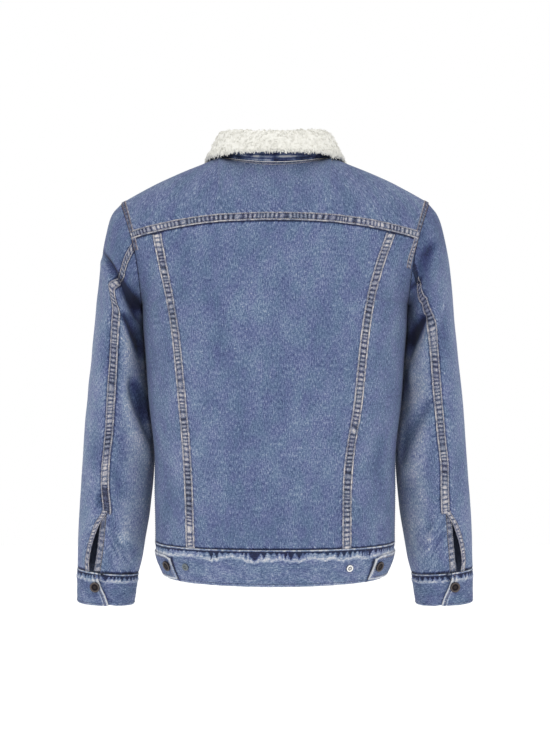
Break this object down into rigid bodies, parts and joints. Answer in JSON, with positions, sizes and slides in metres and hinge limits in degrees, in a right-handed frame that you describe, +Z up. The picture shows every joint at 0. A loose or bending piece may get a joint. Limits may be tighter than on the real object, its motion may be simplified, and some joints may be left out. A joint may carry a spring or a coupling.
{
  "type": "sherpa lined jacket",
  "caption": "Waist-length denim jacket with a folded sherpa collar and lining, back yoke, curved back seams, long sleeves with vents and cuffs, and a waistband with side tabs.",
  "frame": {"origin": "middle of the neck opening, at the height of the back neck seam, where the wearer's shoulders carry the jacket", "axes": "+Z up, the front faces -Y, +X is the wearer's left"},
  "size_m": [0.6244, 0.2814, 0.7357],
  "materials": {
    "denim": "medium-wash blue twill, worn pale along the seams, matt",
    "denim_dark": "unfaded dark blue twill, matt",
    "sherpa": "cream curly pile",
    "antique_metal": "dark antiqued metal, worn brighter on the rims",
    "nickel": "bright nickel plate"
  },
  "bodies": {
    "root": {"back_yoke": "denim", "back_centre": "denim", "back_side_left": "denim", "back_side_right": "denim", "front_left": "denim", "front_right": "denim", "front_placket": "denim", "waistband": "denim", "waist_tab_left": "denim", "waist_tab_right": "denim", "sleeve_upper_left": "denim", "sleeve_upper_right": "denim", "sleeve_under_left": "denim", "sleeve_under_right": "denim", "cuff_left": "denim", "cuff_right": "denim", "collar_under": "denim_dark", "sleeve_vent_facing_left": "denim_dark", "sleeve_vent_facing_right": "denim_dark", "collar_upper": "sherpa", "lining_back": "sherpa", "lining_front_left": "sherpa", "lining_front_right": "sherpa", "front_button_1": "antique_metal", "front_button_2": "antique_metal", "front_button_3": "antique_metal", "front_button_4": "antique_metal", "front_button_5": "antique_metal", "waistband_button": "antique_metal", "cuff_button_left": "antique_metal", "cuff_button_right": "antique_metal", "waist_tab_button_left": "antique_metal", "waist_tab_button_right": "antique_metal", "waist_stud_left": "nickel", "waist_stud_right": "nickel"}
  },
  "joints": []
}
